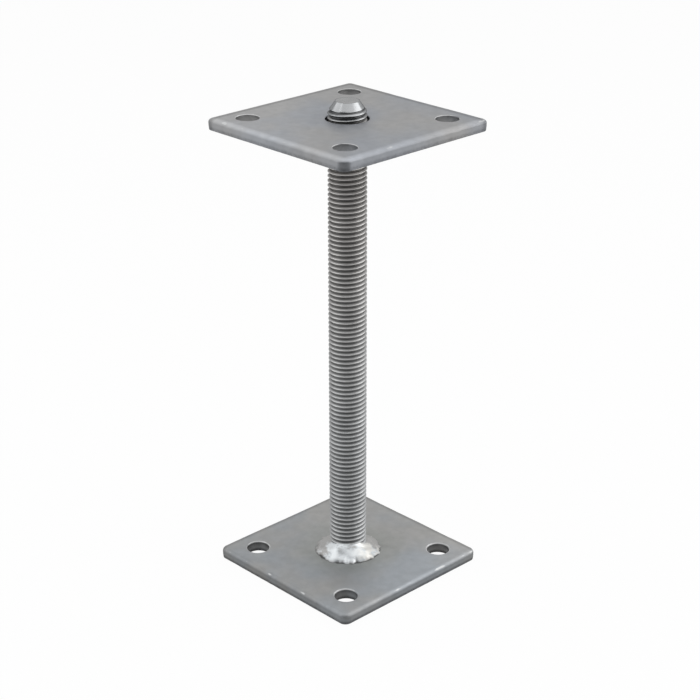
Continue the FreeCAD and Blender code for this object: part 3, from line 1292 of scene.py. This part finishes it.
@dataclass
class ThinNut(Assembly):
    """The thin hexagon nut under the head plate, threaded to match the rod.

    Attributes:
        thread: The rod's thread.
        across_flats: Its width between two flats.
        face_inset: How far the edge of a round face lies inside the flats.
        inner_ring: Radius of the ring that keeps a face's shading flat, as a share of the face's.
        chamfer_angle: Angle of the chamfers against the faces.
        corner_wear: How far its corners are worn down.
        mouth_radius: Radius of the bore's mouths.
        play: How much wider its thread is than the rod's.
        columns: How many steps it has round the rod.
    """

    thread: CoarseThread
    across_flats: float = 30.0 * MM
    face_inset: float = 0.6 * MM
    inner_ring: float = 0.9
    chamfer_angle: float = math.radians(30)
    corner_wear: float = 0.25 * MM
    mouth_radius: float = 10.85 * MM
    play: float = 0.12 * MM
    columns: int = 96

    def build(self) -> Surface:
        """The hexagon between its two chamfered faces, and the thread inside it.

        The hexagon's radius is its half width over the cosine of the angle from the nearest flat.
        A chamfer falls with the radius past the round face. The bore is the rod's thread moved out
        by the play, opened by a cone at each mouth.

        Returns:
            The closed nut.
        """
        low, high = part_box(self.role.node)
        side_turn = FULL_TURN / HEXAGON_SIDES
        angle = np.linspace(0, FULL_TURN, self.columns + 1)
        level = np.ones_like(angle)
        half = self.across_flats / 2
        side = half / np.cos(np.mod(angle, side_turn) - side_turn / 2)
        side = np.minimum(side, half / math.cos(side_turn / 2) - self.corner_wear)
        face = (half - self.face_inset) * level
        fall = (side - face) * math.tan(self.chamfer_angle)
        mouth = self.mouth_radius * level
        ring = self.inner_ring * face
        radius = np.vstack([mouth, ring, face, side, side, side, face, ring, mouth])
        below, above, middle = low.z * level, high.z * level, (low.z + high.z) / 2 * level
        height = np.vstack([below, below, below, low.z + fall, middle, high.z - fall, above, above, above])
        surface = Surface()
        surface.add(ringed(np.broadcast_to(angle, radius.shape), radius, height))
        turn, up, sunk = self.thread.helix(low.z, high.z, self.columns)
        mouths = self.mouth_radius - np.minimum(up - low.z, high.z - up)
        bore = np.maximum(self.thread.radius - sunk + self.play, mouths)
        surface.add(ringed(turn, bore, up), turned=True)
        return surface


@dataclass(frozen=True)
class Softbox:
    """A soft lamp, placed by the camera's own directions round the part.

    Attributes:
        name: Name of the lamp.
        right: How far to the camera's right it stands.
        near: How far towards the camera it stands.
        up: How high it hangs.
        width: Its width and height.
        watts: Its power.
    """

    name: str
    right: float
    near: float
    up: float
    width: float
    watts: float


@dataclass
class Studio:
    """The camera of the photograph, soft lamps, a white floor and a dim room.

    Attributes:
        target: Point that the camera looks at.
        azimuth: Angle of the camera round the part, from the -Y side towards +X.
        elevation: Angle of the camera over the floor.
        roll: Angle by which the camera is turned about its line of sight.
        distance: Distance of the camera from the target.
        frame_pixels: Side of the picture.
        focal_pixels: Focal length, in the picture's pixels.
        shift_pixels: How far the lens is shifted sideways.
        sensor: Width of the sensor, in millimetres.
        floor_side: Side of the floor.
        floor_drop: How far the floor lies under the part.
        floor_paint: Colour of the floor under the lamps.
        floor_white: Share of plain white in the floor that the camera and reflections see.
        dim_near: How much the room dims towards the camera.
        dim_left: How much it dims towards the camera's left.
        dim_range: Where, from the bright side to the dim one, the dimming begins and ends.
        glow_range: How bright the room is on the bright side and on the dim one.
        boxes: The soft lamps.
    """

    target: Vector = field(default_factory=lambda: Vector((0, 0, 124.7 * MM)))
    azimuth: float = math.radians(46.2)
    elevation: float = math.radians(23.53)
    roll: float = math.radians(-0.088)
    distance: float = 918.0 * MM
    frame_pixels: float = 700.0
    focal_pixels: float = 1753.0
    shift_pixels: float = 2.31
    sensor: float = 36.0
    floor_side: float = 12.0
    floor_drop: float = 0.05 * MM
    floor_paint: Colour = (0.9, 0.9, 0.9)
    floor_white: float = 0.96
    dim_near: float = 0.95
    dim_left: float = 0.3
    dim_range: Range = (-0.8, 0.5)
    glow_range: Range = (0.9, 0.2)
    boxes: tuple[Softbox, ...] = (
        Softbox("left_box", right=-1.2, near=0.15, up=0.65, width=1.5, watts=6.5),
        Softbox("right_box", right=1.2, near=0.1, up=0.65, width=1.3, watts=6.5),
        Softbox("top_box", right=0.0, near=0.24, up=1.35, width=1.9, watts=8.5),
    )

    @property
    def level_axes(self) -> tuple[Vector, Vector]:
        """The camera's own directions over the floor.

        Returns:
            The camera's right, and the level direction from the part towards it.
        """
        right = Vector((math.cos(self.azimuth), math.sin(self.azimuth), 0))
        near = Vector((math.sin(self.azimuth), -math.cos(self.azimuth), 0))
        return right, near

    def camera(self) -> None:
        """Puts the camera at the photograph's place, with its lens and its slight roll."""
        right, near = self.level_axes
        back = near * math.cos(self.elevation) + Vector((0, 0, math.sin(self.elevation)))
        up = back.cross(right)
        rolled_right = right * math.cos(self.roll) + up * math.sin(self.roll)
        rolled_up = up * math.cos(self.roll) - right * math.sin(self.roll)
        data = bpy.data.cameras.new("camera")
        data.sensor_width = self.sensor
        data.lens = self.sensor * self.focal_pixels / self.frame_pixels
        data.shift_x = self.shift_pixels / self.frame_pixels
        camera = bpy.data.objects.new("camera", data)
        camera.rotation_mode = "QUATERNION"
        camera.rotation_quaternion = Matrix((rolled_right, rolled_up, back)).transposed().to_quaternion()
        camera.location = self.target + back * self.distance
        bpy.context.scene.collection.objects.link(camera)
        bpy.context.scene.camera = camera

    def lamps(self) -> None:
        """Hangs the soft boxes, each turned to the middle of the part."""
        right, near = self.level_axes
        for box in self.boxes:
            data = bpy.data.lights.new(box.name, "AREA")
            data.shape = "SQUARE"
            data.size = box.width
            data.energy = box.watts
            lamp = bpy.data.objects.new(box.name, data)
            lamp.location = right * box.right + near * box.near + Vector((0, 0, box.up))
            lamp.rotation_mode = "QUATERNION"
            lamp.rotation_quaternion = (self.target - lamp.location).to_track_quat("-Z", "Y")
            bpy.context.scene.collection.objects.link(lamp)

    def floor(self) -> None:
        """Lays a white floor: white to the camera and in reflections, with a trace of shadow."""
        half = self.floor_side / 2
        corners = [(-half, -half), (half, -half), (half, half), (-half, half)]
        mesh = bpy.data.meshes.new("floor")
        mesh.from_pydata([(x, y, -self.floor_drop) for x, y in corners], [], [(0, 1, 2, 3)])
        floor = bpy.data.objects.new("floor", mesh)
        bpy.context.scene.collection.objects.link(floor)
        material = bpy.data.materials.new("white_floor")
        material.use_nodes = True
        material.node_tree.nodes.clear()
        sketch = NodeSketch(material.node_tree)
        paint, glow = sketch.add("BsdfDiffuse"), sketch.add("Emission")
        sketch.feed(paint, Color=self.floor_paint)
        sketch.feed(glow, Color=(1.0, 1.0, 1.0), Strength=1.0)
        blend = sketch.add("MixShader")
        shaders = (self.seen_white(sketch), paint.outputs["BSDF"], glow.outputs["Emission"])
        for socket, shader in zip(blend.inputs, shaders):
            sketch.fill(socket, shader)
        sketch.feed(sketch.add("OutputMaterial"), Surface=blend.outputs["Shader"])
        mesh.materials.append(material)

    def seen_white(self, sketch: NodeSketch) -> Socket:
        """The floor's white for rays from the camera, off metal and through glass, and 0 for the rest.

        Args:
            sketch: Node tree that gets the nodes.

        Returns:
            A socket with the value.
        """
        path = sketch.add("LightPath").outputs
        seen = sketch.larger(path["Is Camera Ray"], path["Is Glossy Ray"])
        seen = sketch.larger(seen, path["Is Transmission Ray"])
        return sketch.times(seen, self.floor_white)

    def surroundings(self) -> None:
        """Lights the room evenly, dimmer where the camera stands and a little dimmer to its left."""
        right, near = self.level_axes
        world = bpy.data.worlds.new("studio")
        world.use_nodes = True
        world.node_tree.nodes.clear()
        bpy.context.scene.world = world
        sketch = NodeSketch(world.node_tree)
        facing = sketch.add("VectorMath", operation="DOT_PRODUCT")
        sketch.fill(facing.inputs[0], sketch.add("TexCoord").outputs["Generated"])
        sketch.fill(facing.inputs[1], near * self.dim_near - right * self.dim_left)
        glow = sketch.add("Background")
        strength = sketch.spread(facing.outputs["Value"], self.dim_range, self.glow_range)
        sketch.feed(glow, Strength=strength)
        sketch.feed(sketch.add("OutputWorld"), Surface=glow.outputs["Background"])

    def build(self) -> None:
        """Sets up the whole studio."""
        self.camera()
        self.lamps()
        self.floor()
        self.surroundings()
        bpy.context.scene.view_settings.view_transform = "Standard"


def base_plate() -> PunchedPlate:
    """The plate on the foundation, tinted by the weld's heat.

    Returns:
        The plate, ready to be dressed.
    """
    finish = GalvanisedPlateFinish(
        seed=1.0,
        cool=(0.403, 0.427, 0.452),
        warm=(0.446, 0.444, 0.436),
        cloud=34 * MM,
        shade_margin=47 * MM,
        painted_light=0.13,
        painted_light_x=1.0,
        painted_light_y=0.0,
        roll_painted_light=0.86,
        roll_side_painted_light=1.02,
        rub=0.57,
        wall_painted_shade=0.48,
        corner_painted_shade=0.85,
        bore_painted_shade=0.28,
        torn_and_shaded_tone=0.66,
        heat_reach=34 * MM,
        seam=18.2 * MM,
    )
    return PunchedPlate(
        role=Role(
            piece="punched_base_plate",
            node="base_plate",
            body="base",
            slot="galvanised_base_plate",
            zinc="base_plate_zinc",
            shading=Shading.ROUNDED,
        ),
        finish=finish,
        seed=11,
        edge=PunchedEdge(roll=2.2 * MM, reach=2.4 * MM, wall=Mask.WALL, rub=1.0, shade_relief=0.04),
        rim=PunchedEdge(roll=1.1 * MM, reach=1.1 * MM, wall=Mask.BORE, rub=1.5, shade_relief=0.14),
    )


def head_plate() -> PunchedPlate:
    """The plate that carries the post, with the rod's hole in its middle.

    Returns:
        The plate, ready to be dressed.
    """
    finish = GalvanisedPlateFinish(
        seed=5.0,
        cool=(0.386, 0.402, 0.430),
        warm=(0.418, 0.416, 0.415),
        cloud=40 * MM,
        shade_margin=44.8 * MM,
        painted_light=0.1,
        painted_light_x=-0.7,
        painted_light_y=-0.7,
        roll_painted_light=1.38,
        roll_side_painted_light=1.3,
        rub=0.56,
        wall_painted_shade=0.78,
        corner_painted_shade=0.55,
        bore_painted_shade=0.60,
        torn_and_shaded_tone=0.85,
    )
    return PunchedPlate(
        role=Role(
            piece="punched_head_plate",
            node="head_plate",
            body="head",
            slot="galvanised_head_plate",
            zinc="head_plate_zinc",
            shading=Shading.ROUNDED,
        ),
        finish=finish,
        seed=12,
        edge=PunchedEdge(roll=1.9 * MM, reach=4.2 * MM, wall=Mask.WALL, rub=1.0, shade_relief=0.04),
        rim=PunchedEdge(roll=0.5 * MM, reach=0.5 * MM, wall=Mask.BORE, rub=1.5, shade_relief=0.5),
        bore_radius=11.0 * MM,
    )


def threaded_rod(thread: CoarseThread) -> ThreadedRod:
    """The rod, with its given thread.

    Args:
        thread: Its thread.

    Returns:
        The rod, ready to be dressed.
    """
    finish = ThreadFinish(
        seed=3.0,
        crest=(0.58, 0.59, 0.595),
        upper_crest=(0.63, 0.615, 0.60),
        groove_shade=0.43,
        upper_groove_shade=0.30,
        low=60 * MM,
        high=230 * MM,
        tip_height=250 * MM,
    )
    role = Role(
        piece="rod_with_thread",
        node="threaded_rod",
        body="base",
        slot="galvanised_thread",
        zinc="rod_zinc",
        shading=Shading.TURNED,
    )
    return ThreadedRod(role, finish, thread)


def weld_seam() -> WeldSeam:
    """The weld round the rod's foot.

    Returns:
        The weld, ready to be dressed.
    """
    finish = WeldFinish(
        seed=7.0,
        bright=(0.89, 0.925, 0.945),
        warm=(0.80, 0.79, 0.755),
        cool=(0.71, 0.75, 0.775),
        dull_and_shade=(0.475, 0.47, 0.462),
    )
    role = Role(
        piece="weld_seam",
        node="weld_bead",
        body="base",
        slot="weld_metal",
        zinc="weld_zinc",
        shading=Shading.ROUNDED,
    )
    return WeldSeam(role, finish)


def thin_nut(thread: CoarseThread) -> ThinNut:
    """The nut under the head plate, evenly grey and with no turned end.

    Args:
        thread: The rod's thread.

    Returns:
        The nut, ready to be dressed.
    """
    grey = (0.44, 0.44, 0.44)
    finish = ThreadFinish(
        seed=8.0,
        crest=grey,
        upper_crest=grey,
        groove_shade=0.5,
        upper_groove_shade=0.5,
        low=0.0,
        high=1.0,
        tip_height=1.0,
    )
    role = Role(
        piece="hexagon_nut",
        node="height_nut",
        body="nut",
        slot="galvanised_nut",
        zinc="nut_zinc",
        shading=Shading.FLAT_SIDED,
    )
    return ThinNut(role, finish, thread)


def main() -> None:
    """Builds the studio and the dressed pieces."""
    logging.basicConfig(level=logging.INFO, format="%(name)s: %(message)s")
    Studio().build()
    thread = CoarseThread()
    assemblies = [base_plate(), threaded_rod(thread), weld_seam(), head_plate(), thin_nut(thread)]
    for assembly in assemblies:
        piece = assembly.dress()
        LOG.info("%s: %d faces", piece.name, len(piece.data.polygons))


if __name__ == "__main__":
    main()
